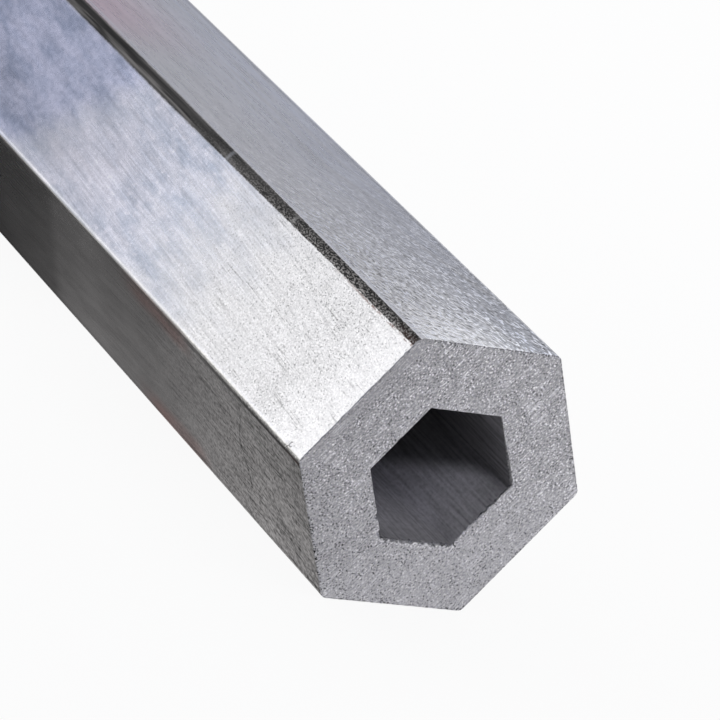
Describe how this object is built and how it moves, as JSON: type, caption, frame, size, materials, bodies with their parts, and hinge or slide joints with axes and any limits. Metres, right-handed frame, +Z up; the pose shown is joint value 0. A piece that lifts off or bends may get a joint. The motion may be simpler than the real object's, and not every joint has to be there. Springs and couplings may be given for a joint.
{
  "type": "hexagonal tube",
  "caption": "Straight length of aluminium hexagonal tube with a concentric hexagonal bore and square sawn ends.",
  "frame": {"origin": "on the lowest flat, under the middle of the tube's length and width", "axes": "+X along the tube, towards the end that the picture shows; +Y level, towards a corner of the section; +Z up, out of the top flat"},
  "size_m": [0.3, 0.0344, 0.03],
  "materials": {
    "mill_aluminium": "mill-finish extruded flats with fine die lines, dull rounded corners, sawn ends"
  },
  "bodies": {
    "root": {"hex_tube": "mill_aluminium"}
  },
  "joints": []
}
